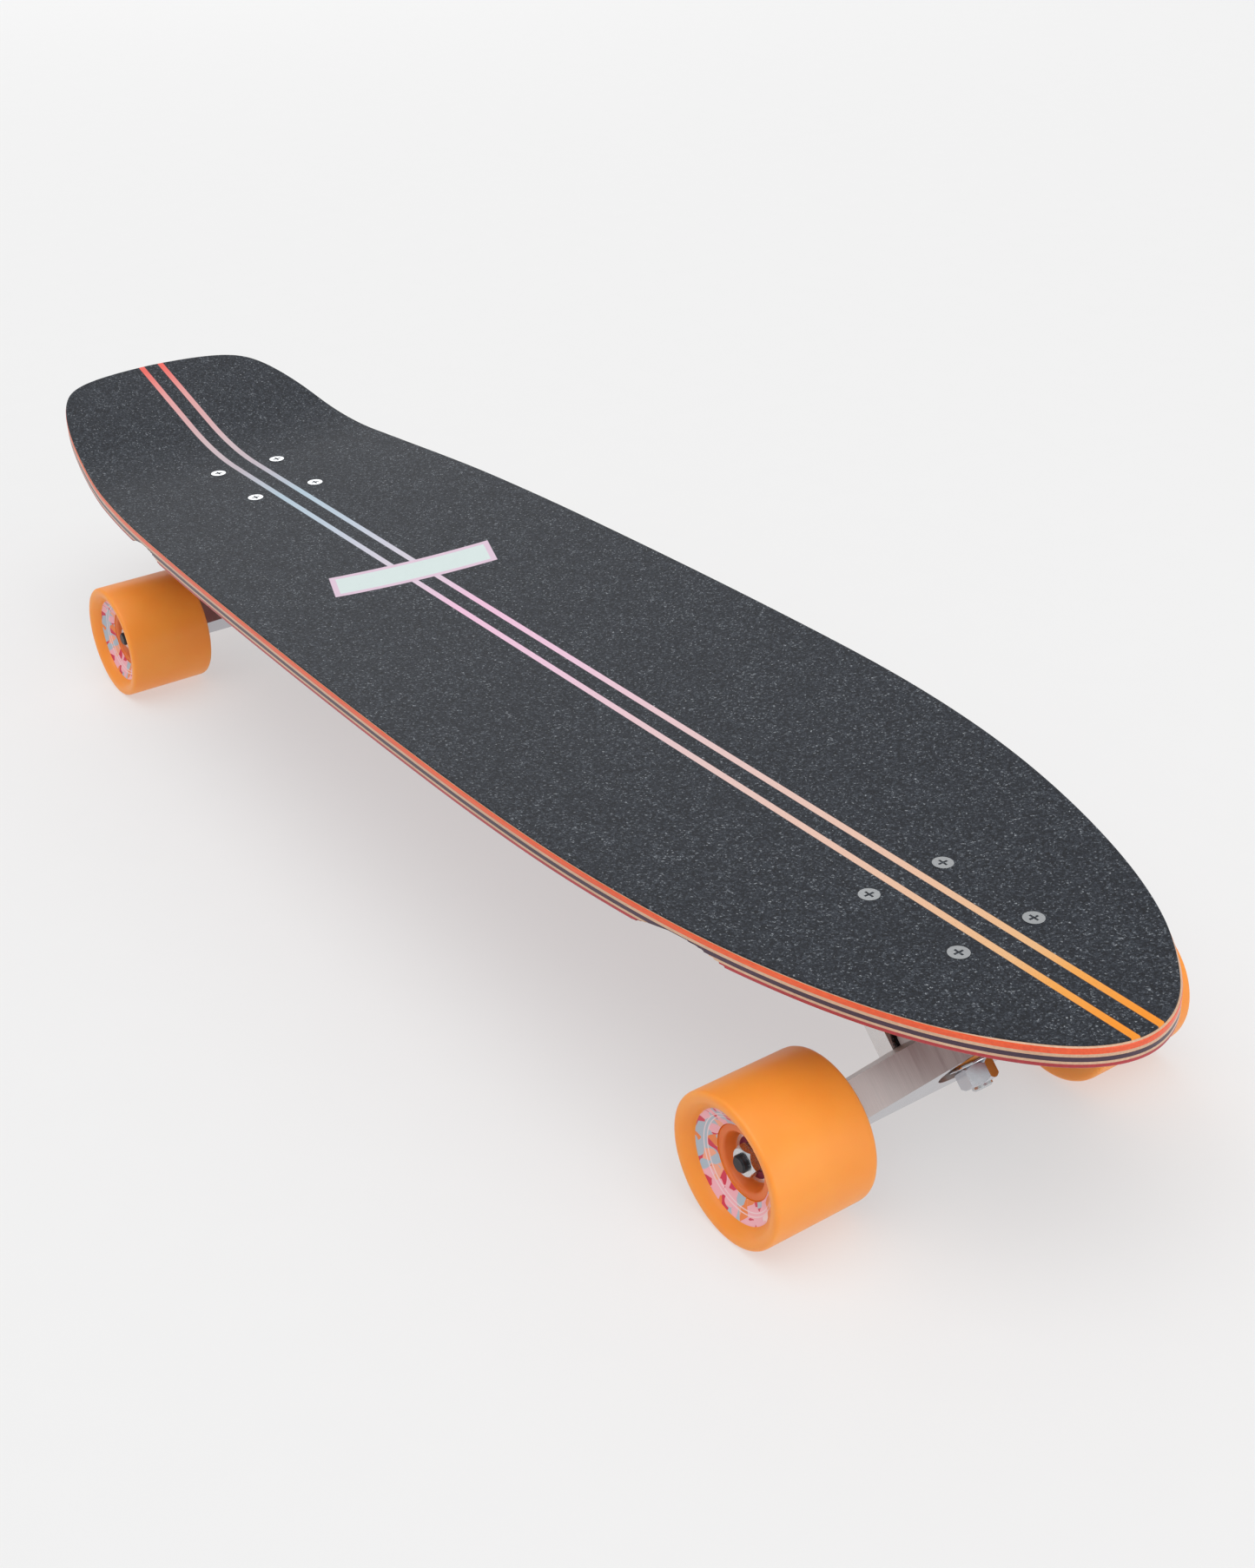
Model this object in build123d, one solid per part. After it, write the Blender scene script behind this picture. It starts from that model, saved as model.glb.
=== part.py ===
from build123d import *
from math import cos, pi, radians, sin, sqrt
import os

# Cruiser skateboard: a seven-ply kicktail deck on two reverse-kingpin trucks.
# Millimetres. Origin on the ground under the middle of the deck, +X to the nose, +Y left, +Z up.

# ---- Driving dimensions: the whole board ----
deck_length = 914.4
wheelbase = 633.0
wheelbase_centre = 31.2          # the long tail puts the wheels ahead of the middle
wheel_radius = 34.7
axle_to_grip = 80.7              # axle line to the top of the grip, on the centreline
axle_height = wheel_radius
grip_height = axle_height + axle_to_grip

# ---- Deck ----
ply_count = 7
ply_thickness = 1.53
face_ply_thickness = 0.55        # the top ply is a thin face veneer
grip_thickness = 0.7
deck_thickness = face_ply_thickness + (ply_count - 1) * ply_thickness
grip_inset = 1.0                 # bare wood round the edge of the grip
top_round = 1.2
bottom_round = 1.0
kick_start = -315.8              # where the tail begins to bend up
kick_radius = 227.0
kick_angle = 16.5
concave_radius = 862.0           # hollow across the deck
blank_width = 250.0
# Half of the plan outline, tail tip to nose tip: place along the board, half-width
half_outline = (
    (-deck_length / 2, 0.0),
    (-456.3, 20.0),
    (-453.6, 40.0),
    (-444.0, 63.0),
    (-421.0, 77.0),
    (-370.0, 89.0),
    (-290.0, 100.3),
    (-190.0, 108.6),
    (-60.0, 113.8),
    (110.0, 116.3),
    (210.0, 113.6),
    (290.0, 103.2),
    (352.0, 86.6),
    (402.0, 64.6),
    (433.0, 42.6),
    (451.0, 21.5),
    (deck_length / 2, 0.0),
)
deck_half_width = 116.3

# ---- Wheel wells: shallow scoops sanded under the deck's edge ----
well_radius = 66.0
well_offset = 51.5               # from the axle towards the middle of the board
well_edge = 105.0                # half-width of the deck there
well_length = 43.0               # how far a scoop reaches in from the edge
well_depth = 4.7                 # at the deck's edge

# ---- Truck mounting ----
bolt_spacing_x = 53.975
bolt_spacing_y = 41.275
bolt_radius = 2.4
bolt_length = 31.75
bolt_tip_radius = 2.2            # the free end of the thread, past the lock nut
bolt_clearance = 0.2
bolt_head_radius = 4.7
bolt_head_depth = 2.7
bolt_head_proud = 0.15
riser_thickness = 3.2
plate_thickness = 7.0
plate_length = 104.0
plate_width = 58.0
plate_corner = 9.0
lock_nut_across_flats = 9.5
lock_nut_height = 5.0

# ---- Truck: heights along the kingpin are counted from the axle, towards the deck ----
kingpin_tilt = 45.0
kingpin_offset = 20.4            # kingpin axis ahead of the axle
kingpin_radius = 4.76
kingpin_end = -16.0
nut_low, nut_high = -14.0, -5.0
nut_across_flats = 15.3
washer_thickness = 1.5
road_washer_radius = 10.5
board_washer_radius = 14.0
ring_low, ring_high = 12.0, 22.0
ring_radius = 16.0
ring_hole_radius = 7.2
seat_height = 39.0
head_seat = 56.0
head_height = 6.0
head_across_flats = 14.3
bushing_bore = 5.0
cone_bushing_base = 12.9
cone_bushing_tip = 9.6
barrel_bushing_radius = 13.4
bushing_crown = 0.9              # rounding of the barrel bushing's rims
pivot_height = (ring_low + ring_high) / 2

# ---- Hanger ----
arm_low, arm_high = -9.2, 10.5
arm_rise = 5.0                   # the arm is that much deeper in the middle than by the wheels
arm_back, arm_front = -9.0, 8.5
arm_end = 64.0
bevel_start = -2.3               # the underside slopes up towards the front from here
bevel_slope = 0.204
pocket_front, pocket_side = 13.4, 17.0
shoulder_radius = 8.0
hanger_end = 77.6
neck_radius = 8.5
neck_front = 5.0
pivot_radius = 6.0
pivot_tip = -19.0
edge_round = 1.2

# ---- Baseplate tower and pivot cup ----
tower_front = -11.5
tower_back = -24.0
tower_low = 5.0
tower_half_width = 11.5
wedge_half_width = 14.8
seat_front = 38.0
cup_radius = 8.9
cup_back = -21.5
running_clearance = 0.05

# ---- Axle, bearings and wheel: distances from the centreline ----
axle_radius = 4.0
axle_half_length = 110.6
axle_chamfer = 0.8
ring_thickness = 0.9
bearing_width = 7.0
bearing_gap = 10.0
bearing_radius = 11.0
outer_race_inner = 9.4
inner_race_outer = 6.1
ball_pitch = 7.75
ball_radius = 1.98
ball_count = 7
groove_radius = ball_radius + running_clearance
shield_inner = 6.4
shield_thickness = 0.3
shield_setback = 0.15
axle_fit = 0.02
speed_ring_radius = 6.0
spacer_radius = 5.9
axle_nut_across_flats = 12.7
axle_nut_height = 4.8
inner_bearing = hanger_end + ring_thickness
outer_bearing = inner_bearing + bearing_width + bearing_gap
axle_nut_start = outer_bearing + bearing_width + ring_thickness
wheel_inner = 65.2
wheel_outer = 118.0
tread_round = 3.4
core_radius = 17.0
core_face = 108.0
core_lip = 13.5
core_inner = 74.0
dish_radius = 26.0
dish_depth = 5.0
well_lip_radius = 24.0
well_lip_depth = 2.5

# ---- Places on the board ----
front_axle = wheelbase_centre + wheelbase / 2
rear_axle = wheelbase_centre - wheelbase / 2
plate_top = axle_to_grip - grip_thickness - deck_thickness - riser_thickness
front_place = Location((front_axle, 0, axle_height))
rear_place = Location((rear_axle, 0, axle_height), (0, 0, 180))
tilt = Location((0, 0, 0), (0, -kingpin_tilt, 0))


def surface_height(y):
    """Height of the grip's top over the ground, ahead of the kicktail."""
    return grip_height + concave_radius - sqrt(concave_radius ** 2 - y ** 2)


def layer(depth, thickness):
    """A slab of the pressed shape, from one depth below the grip's top to another."""
    half_width = blank_width / 2
    arcs = []
    for below in (depth, depth + thickness):
        radius = concave_radius + below
        centre = grip_height + concave_radius
        edge = centre - sqrt(radius ** 2 - half_width ** 2)
        arcs.append(((-half_width, edge), (0, centre - radius), (half_width, edge)))
    top, bottom = arcs
    lines = ThreePointArc(*top) + Line(top[2], bottom[2])
    lines += ThreePointArc(*reversed(bottom)) + Line(bottom[0], top[0])
    section = Location((kick_start, 0, 0)) * (Plane.YZ * make_face(lines))
    hinge = Axis((kick_start, 0, grip_height + kick_radius), (0, 1, 0))
    flat = extrude(section, amount=deck_length, dir=(1, 0, 0))
    bend = revolve(section, hinge, revolution_arc=kick_angle)
    tail = extrude(section, amount=deck_length / 3, dir=(-1, 0, 0)).rotate(hinge, kick_angle)
    return flat + bend + tail


def plan_outline(inset, hole_radius, well=0.0):
    """The board seen from above, as a tall prism with its bolt holes and wheel wells."""
    along = 1 - 2 * inset / deck_length
    sideways = 1 - inset / deck_half_width
    left = [Vector(x * along, y * sideways, 0) for x, y in half_outline]
    right = [Vector(point.X, -point.Y, 0) for point in reversed(left[1:-1])]
    sketch = Sketch() + Face(Wire([Edge.make_spline(left + right, periodic=True)]))
    for _, x, y in bolt_places():
        sketch -= Location((x, y)) * Circle(hole_radius)
    if well > 0:
        scoop = Ellipse(sqrt(2 * well_radius * well), well_length * well / well_depth)
        for x in (front_axle - well_offset, rear_axle + well_offset):
            for side in (-1, 1):
                sketch -= Location((x, side * well_edge)) * scoop
    return extrude(sketch, amount=2 * grip_height, dir=(0, 0, 1))


def bolt_places():
    """The eight deck bolts, as (truck name, x, y)."""
    places = []
    for truck, axle in (("front", front_axle), ("rear", rear_axle)):
        for side_x in (-1, 1):
            for side_y in (-1, 1):
                places.append((truck, axle + side_x * bolt_spacing_x / 2, side_y * bolt_spacing_y / 2))
    return places


def along_z(radius, low, high, x=0.0, y=0.0, top_radius=None):
    """A cylinder, or a cone, standing between two heights."""
    centre = Location((x, y, (low + high) / 2))
    if top_radius is None:
        return centre * Cylinder(radius, high - low)
    return centre * Cone(radius, top_radius, high - low)


def along_y(radius, start, end, x=0.0, z=0.0):
    """A cylinder lying across the board."""
    return Location((x, (start + end) / 2, z), (90, 0, 0)) * Cylinder(radius, end - start)


def along_x(radius, start, end, z=0.0):
    """A cylinder lying along the local X axis."""
    return Location(((start + end) / 2, 0, z), (0, 90, 0)) * Cylinder(radius, end - start)


def block(x_span, y_span, z_span):
    """A box given by its three spans."""
    centre = Location((sum(x_span) / 2, sum(y_span) / 2, sum(z_span) / 2))
    sizes = [span[1] - span[0] for span in (x_span, y_span, z_span)]
    return centre * Box(*sizes)


def hexagon(across_flats, low, high, x=0.0, y=0.0):
    """A six-sided nut or bolt head with its corners turned off at both ends."""
    corner = across_flats / 2 / cos(pi / 6)
    prism = extrude(RegularPolygon(corner, 6), amount=high - low)
    prism = Location((x, y, low)) * prism
    turned = along_z(corner, low, high, x, y)
    turned = chamfer(turned.edges().filter_by(GeomType.CIRCLE), 0.09 * across_flats)
    return prism & turned


def ply_span(number):
    """Depths of a ply's two faces below the top of the wood."""
    bottom = face_ply_thickness + number * ply_thickness
    return max(0.0, bottom - ply_thickness), bottom


def rounded_inset(from_top):
    """How far the round-over brings the wood's edge in, at a depth below its top."""
    from_bottom = deck_thickness - from_top
    inset = 0.0
    for depth, radius in ((from_top, top_round), (from_bottom, bottom_round)):
        if depth < radius:
            inset += radius - sqrt(radius ** 2 - (radius - depth) ** 2)
    return inset


def make_deck():
    """Grip tape and seven plies, pressed to one shape and cut to one outline."""
    head_hole = bolt_head_radius + 0.05
    shank_hole = bolt_radius + bolt_clearance
    nodes["grip_tape"] = plan_outline(grip_inset, head_hole) & layer(0.0, grip_thickness)
    for number in range(ply_count):
        top, bottom = ply_span(number)
        middle = (top + bottom) / 2
        hole = head_hole if top < bolt_head_depth - grip_thickness else shank_hole
        outline = plan_outline(rounded_inset(middle), hole, well_depth - deck_thickness + middle)
        nodes["deck_ply_%d" % (number + 1)] = outline & layer(grip_thickness + top, bottom - top)


def make_riser(name, place):
    """The rubber pad between deck and baseplate, its top moulded to the deck."""
    pad = rounded_plate(plate_top, plate_top + 2 * riser_thickness)
    pad = place * pad & layer(grip_thickness + deck_thickness, 3 * riser_thickness)
    nodes[name + "_riser_pad"] = pad - mounting_holes(place)


def rounded_plate(low, high):
    """The footprint of the truck as a plate between two heights over the axle."""
    sketch = RectangleRounded(plate_length, plate_width, plate_corner)
    return Location((0, 0, low)) * extrude(sketch, amount=high - low)


def mounting_holes(place):
    """Clearance holes for the four bolts of one truck."""
    holes = []
    for side_x in (-1, 1):
        for side_y in (-1, 1):
            x = side_x * bolt_spacing_x / 2
            y = side_y * bolt_spacing_y / 2
            radius = bolt_radius + bolt_clearance
            holes.append(place * along_z(radius, arm_high, axle_to_grip, x, y))
    return holes


def make_deck_hardware(name):
    """Countersunk cross-head bolts through the deck, and the lock nuts under the baseplate."""
    bolts = []
    lock_nuts = []
    nut_top = axle_height + plate_top - plate_thickness
    nut_bottom = nut_top - lock_nut_height
    for truck, x, y in bolt_places():
        if truck != name:
            continue
        head = surface_height(y) + bolt_head_proud
        sink_low = head - bolt_head_depth
        bolt = along_z(bolt_radius, nut_bottom, sink_low + 1, x, y)
        bolt += along_z(bolt_tip_radius, head - bolt_length, nut_bottom, x, y)
        bolt += along_z(bolt_radius, sink_low, head, x, y, bolt_head_radius)
        for width, length in ((1.1, 5.0), (5.0, 1.1)):
            slot = ((x - width / 2, x + width / 2), (y - length / 2, y + length / 2))
            bolt -= block(slot[0], slot[1], (head - 1.8, head + 1))
        bolts.append(bolt)
        nut = hexagon(lock_nut_across_flats, nut_bottom, nut_top, x, y)
        lock_nuts.append(nut - along_z(bolt_radius, nut_bottom - 1, nut_top + 1, x, y))
    nodes[name + "_deck_bolts"] = Compound(children=[bolt.solid() for bolt in bolts])
    nodes[name + "_deck_nuts"] = Compound(children=[nut.solid() for nut in lock_nuts])


def side_profile(points, half_width):
    """A plate standing along the board, from points (ahead of the axle, over the axle)."""
    face = Plane.XZ * make_face(Polyline(*points, close=True))
    return extrude(face, amount=half_width, both=True)


def from_kingpin(ahead, height):
    """Turn a place in the kingpin's frame into (ahead of the axle, over the axle)."""
    angle = radians(kingpin_tilt)
    return (ahead * cos(angle) - height * sin(angle), ahead * sin(angle) + height * cos(angle))


def make_baseplate(name, place):
    """Mounting plate, sloping bushing seat and the tower that holds the pivot cup."""
    plate_low = plate_top - plate_thickness
    plate = rounded_plate(plate_low, plate_top)
    wedge = side_profile(
        [
            (6.0, plate_low),
            from_kingpin(seat_front, seat_height),
            from_kingpin(tower_front, seat_height),
            from_kingpin(tower_back, seat_height - 4),
            (-plate_length / 2 + 8, plate_low),
        ],
        wedge_half_width,
    )
    tower = side_profile(
        [
            from_kingpin(tower_front, seat_height),
            from_kingpin(tower_front, tower_low + 4),
            from_kingpin(tower_front - 3, tower_low),
            from_kingpin(tower_back + 3, tower_low),
            from_kingpin(tower_back, tower_low + 4),
            from_kingpin(tower_back, seat_height - 4),
        ],
        tower_half_width,
    )
    baseplate = plate + wedge + tower
    cup_bore = tilt * along_x(cup_radius, cup_back, tower_front + 5, pivot_height)
    shank = tilt * along_z(kingpin_radius + 0.05, seat_height - 5, head_seat + 5, kingpin_offset)
    pocket = tilt * along_z(head_across_flats * 0.6, head_seat, head_seat + 60, kingpin_offset)
    baseplate = baseplate - cup_bore - shank - pocket
    nodes[name + "_baseplate"] = place * baseplate - mounting_holes(place)
    cup = along_x(cup_radius, cup_back, tower_front - 0.3, pivot_height)
    bore_back = pivot_tip - 0.3
    cup -= along_x(pivot_radius + running_clearance, bore_back, tower_front + 5, pivot_height)
    nodes[name + "_pivot_cup"] = place * tilt * cup


def make_kingpin_stack(name, place):
    """Kingpin, nut, washers and the two bushings that the hanger leans against."""
    x = kingpin_offset
    pin = along_z(kingpin_radius, kingpin_end, head_seat, x)
    pin = chamfer(pin.edges().filter_by(GeomType.CIRCLE).sort_by(Axis.Z)[0], 0.8)
    pin += hexagon(head_across_flats, head_seat, head_seat + head_height, x)
    nut = hexagon(nut_across_flats, nut_low, nut_high, x)
    nut -= along_z(kingpin_radius, nut_low - 1, nut_high + 1, x)
    board_bottom = seat_height - washer_thickness
    washers = []
    for radius, low in ((road_washer_radius, nut_high), (board_washer_radius, board_bottom)):
        washer = along_z(radius, low, low + washer_thickness, x)
        washer = fillet(washer.edges().filter_by(GeomType.CIRCLE), 0.5)
        washers.append(washer - along_z(bushing_bore, low - 1, low + 3, x))
    cone_low = nut_high + washer_thickness
    cone = along_z(cone_bushing_tip, cone_low, ring_low, x, 0.0, cone_bushing_base)
    barrel = along_z(barrel_bushing_radius, ring_high, board_bottom, x)
    barrel = fillet(barrel.edges().filter_by(GeomType.CIRCLE), bushing_crown)
    bore = along_z(bushing_bore, cone_low - 1, seat_height, x)
    nodes[name + "_kingpin"] = place * tilt * pin
    nodes[name + "_kingpin_nut"] = place * tilt * nut
    placed = [(place * tilt * washer).solid() for washer in washers]
    nodes[name + "_bushing_washers"] = Compound(children=placed)
    nodes[name + "_roadside_bushing"] = place * tilt * (cone - bore)
    nodes[name + "_boardside_bushing"] = place * tilt * (barrel - bore)


def make_hanger(name, place):
    """The cast arm: a straight bar round the axle that flares into the bushing ring."""
    bar = Location(((arm_back + arm_front) / 2, 0))
    bar = bar * Rectangle(arm_front - arm_back, 2 * arm_end)
    ring = Location((kingpin_offset, 0)) * Circle(ring_radius)
    plan = make_hull(bar.edges() + ring.edges())
    crest = arm_high + arm_rise
    arm = Location((0, 0, arm_low)) * extrude(plan, amount=crest - arm_low)
    roof = [(0, crest), (arm_end, arm_high), (arm_end, crest + 1)]
    roof += [(-arm_end, crest + 1), (-arm_end, arm_high)]
    arm -= extrude(Plane.YZ * make_face(Polyline(*roof, close=True)), amount=3 * ring_radius, both=True)
    ahead = 45.0
    bevel_high = arm_low + (ahead - bevel_start) * bevel_slope
    under = [(bevel_start, arm_low), (ahead, bevel_high), (ahead, arm_low - 5), (bevel_start, arm_low - 5)]
    arm -= side_profile(under, 2 * arm_end)
    arm = fillet(arm.edges().filter_by(Axis.Y), edge_round)
    arm += along_z(ring_radius, 0, ring_high, kingpin_offset)
    neck = along_x(neck_radius, arm_back, neck_front, pivot_height)
    neck += block((arm_back, neck_front), (-neck_radius, neck_radius), (0, pivot_height))
    arm += neck
    pivot = along_x(pivot_radius, pivot_tip, neck_front, pivot_height)
    pivot = fillet(pivot.edges().filter_by(GeomType.CIRCLE).sort_by(Axis.X)[0], 3.5)
    arm += pivot
    arm += along_y(shoulder_radius, -hanger_end, hanger_end)
    pocket = Location((kingpin_offset, 0, arm_low - 2)) * Ellipse(pocket_front, pocket_side)
    arm -= extrude(pocket, amount=ring_low - arm_low + 2, dir=(0, 0, 1))
    arm -= along_z(ring_hole_radius, ring_low - 2, ring_high + 2, kingpin_offset)
    arm -= along_y(axle_radius, -hanger_end - 2, hanger_end + 2)
    nodes[name + "_hanger"] = place * tilt * arm


def on_both_sides(make, *spans):
    """Solids made by make(start, end) for each span, on the left and on the right."""
    solids = []
    for start, end in spans:
        for low, high in ((start, end), (-end, -start)):
            solids.append(make(low, high).solid())
    return solids


def tube(outer, inner):
    """A maker of short tubes across the board, with the given radii."""
    return lambda start, end: along_y(outer, start, end) - along_y(inner, start - 1, end + 1)


def race(outer, inner):
    """A maker of bearing races, with the groove that the balls run in."""
    def make(start, end):
        groove = Location((0, (start + end) / 2, 0), (90, 0, 0)) * Torus(ball_pitch, groove_radius)
        return tube(outer, inner)(start, end) - groove
    return make


def across(across_flats, bore):
    """A maker of hexagon nuts whose axis lies across the board."""
    def make(start, end):
        nut = Location((0, end, 0), (90, 0, 0)) * hexagon(across_flats, 0, end - start)
        return nut - along_y(bore, start - 1, end + 1)
    return make


def make_axle_parts(name, place):
    """What the hanger carries: axle, nuts, speed rings, inner races and spacers."""
    axle = along_y(axle_radius, -axle_half_length, axle_half_length)
    axle = chamfer(axle.edges().filter_by(GeomType.CIRCLE), axle_chamfer)
    nodes[name + "_axle"] = place * axle
    inner_span = (inner_bearing, inner_bearing + bearing_width)
    outer_span = (outer_bearing, outer_bearing + bearing_width)
    nut_span = (axle_nut_start, axle_nut_start + axle_nut_height)
    rings = ((hanger_end, inner_bearing), (outer_span[1], axle_nut_start))
    bore = axle_radius + axle_fit
    groups = {
        "axle_nuts": on_both_sides(across(axle_nut_across_flats, axle_radius), nut_span),
        "speed_rings": on_both_sides(tube(speed_ring_radius, bore), *rings),
        "bearing_inner_races": on_both_sides(race(inner_race_outer, bore), inner_span, outer_span),
        "bearing_spacers": on_both_sides(tube(spacer_radius, bore), (inner_span[1], outer_bearing)),
    }
    for part_name, solids in groups.items():
        placed = [solid.moved(place) for solid in solids]
        nodes[name + "_" + part_name] = Compound(children=placed)


def spun(points, side):
    """A solid of revolution round the axle, from points (radius, distance from the centreline)."""
    face = make_face(Polyline(*[(radius, side * y) for radius, y in points], close=True))
    return revolve(face, Axis.Y)


def arc_points(centre_radius, centre_y, radius, start, end, steps=6):
    """Points along a round corner of a turned profile."""
    points = []
    for i in range(steps + 1):
        angle = radians(start + (end - start) * i / steps)
        points.append((centre_radius + radius * cos(angle), centre_y + radius * sin(angle)))
    return points


def make_wheel(name, place, side):
    """One wheel: urethane tyre, core, and the parts of two bearings that turn with it."""
    tread_centre = wheel_radius - tread_round
    outer_corner = arc_points(tread_centre, wheel_outer - tread_round, tread_round, 0, 90)
    inner_corner = arc_points(tread_centre, wheel_inner + tread_round, tread_round, -90, 0)
    tyre = [(core_radius, core_inner), (well_lip_radius, wheel_inner + well_lip_depth)]
    tyre += [(well_lip_radius + 4, wheel_inner)]
    tyre += inner_corner + outer_corner
    tyre += [(dish_radius, wheel_outer - dish_depth), (core_radius, core_face)]
    inner_end = inner_bearing + bearing_width
    bore = outer_race_inner + 0.4
    core = [
        (core_radius, core_inner),
        (core_radius, core_face),
        (core_lip, core_face),
        (bearing_radius, outer_bearing + bearing_width),
        (bearing_radius, outer_bearing),
        (bore, outer_bearing),
        (bore, inner_end),
        (bearing_radius, inner_end),
        (bearing_radius, inner_bearing),
        (core_lip, core_inner),
    ]
    nodes[name + "_tyre"] = place * spun(tyre, side)
    nodes[name + "_core"] = place * spun(core, side)
    races = []
    balls = []
    shields = []
    for start in (inner_bearing, outer_bearing):
        low = start if side > 0 else -start - bearing_width
        high = low + bearing_width
        middle = (low + high) / 2
        races.append(race(bearing_radius, outer_race_inner)(low, high).solid())
        for i in range(ball_count):
            turn = 2 * pi * i / ball_count
            centre = Location((ball_pitch * cos(turn), middle, ball_pitch * sin(turn)))
            balls.append((centre * Sphere(ball_radius)).solid())
        shield = tube(outer_race_inner, shield_inner)
        for edge in (low + shield_setback, high - shield_setback - shield_thickness):
            shields.append(shield(edge, edge + shield_thickness).solid())
    for part_name, solids in (("outer_races", races), ("bearing_balls", balls), ("bearing_shields", shields)):
        placed = [solid.moved(place) for solid in solids]
        nodes[name + "_" + part_name] = Compound(children=placed)


nodes = {}
make_deck()
for truck_name, truck_place in (("front", front_place), ("rear", rear_place)):
    make_riser(truck_name, truck_place)
    make_deck_hardware(truck_name)
    make_baseplate(truck_name, truck_place)
    make_kingpin_stack(truck_name, truck_place)
    make_hanger(truck_name, truck_place)
    make_axle_parts(truck_name, truck_place)
    outward = 1 if truck_name == "front" else -1
    make_wheel(truck_name + "_left_wheel", truck_place, outward)
    make_wheel(truck_name + "_right_wheel", truck_place, -outward)

os.makedirs("parts", exist_ok=True)
for node_name, shape in nodes.items():
    export_step(shape, "parts/%s.step" % node_name)
print(len(nodes), "nodes written")
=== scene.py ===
# %% [markdown]
# # A cruiser skateboard, dressed in Blender
# This script gives the board its looks: sanded maple plies, gritty grip tape, cast urethane
# wheels with a printed ring, and brushed and plated metal. Everything is in metres, +X towards
# the nose, +Y to the left, +Z up, with the ground at zero.

# %% Load the frame
import math
import bmesh
import bpy
import numpy as np
from mathutils import Matrix, Vector


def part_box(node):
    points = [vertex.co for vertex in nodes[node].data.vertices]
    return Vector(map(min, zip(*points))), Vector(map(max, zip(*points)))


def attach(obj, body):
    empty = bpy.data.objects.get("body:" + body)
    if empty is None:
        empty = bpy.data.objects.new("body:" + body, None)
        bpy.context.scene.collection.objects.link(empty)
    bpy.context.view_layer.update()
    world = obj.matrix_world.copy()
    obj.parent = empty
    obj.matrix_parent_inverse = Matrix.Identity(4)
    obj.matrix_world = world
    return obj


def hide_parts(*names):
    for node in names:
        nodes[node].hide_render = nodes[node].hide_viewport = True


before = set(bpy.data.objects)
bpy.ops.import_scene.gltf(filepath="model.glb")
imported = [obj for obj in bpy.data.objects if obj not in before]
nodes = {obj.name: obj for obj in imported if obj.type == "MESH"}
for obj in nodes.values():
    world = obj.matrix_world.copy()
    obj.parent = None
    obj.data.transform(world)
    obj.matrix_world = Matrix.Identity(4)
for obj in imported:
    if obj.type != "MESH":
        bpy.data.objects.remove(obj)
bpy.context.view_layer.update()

MM = 0.001

# %% [markdown]
# ## Where things are
# A maker measures before cutting. The places that the looks depend on are read from the CAD
# nodes, so that the pieces made here stay in register with the parts that carry them.

# %% Measure the frame
def middle(node):
    """The centre of a CAD node's box."""
    low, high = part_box(node)
    return (low + high) / 2


front_axle = middle("front_axle")
rear_axle = middle("rear_axle")
tyre_low, tyre_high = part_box("front_left_wheel_tyre")
wheel_radius = (tyre_high.x - tyre_low.x) / 2
deck_low, deck_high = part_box("deck_ply_3")
deck_length = deck_high.x - deck_low.x
grip_low, grip_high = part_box("grip_tape")
print("wheelbase %.3f m, wheel radius %.4f m, deck %.3f m long"
      % (front_axle.x - rear_axle.x, wheel_radius, deck_length))

# %% [markdown]
# ## Helpers for materials
# Each finish is a small network of shader nodes. Typing out every node makes a script hard to
# read, so two helpers carry the load: one makes a node and fills its sockets, the other mixes
# colours. A socket is given a number, a colour, or another node's output to plug in.

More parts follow.
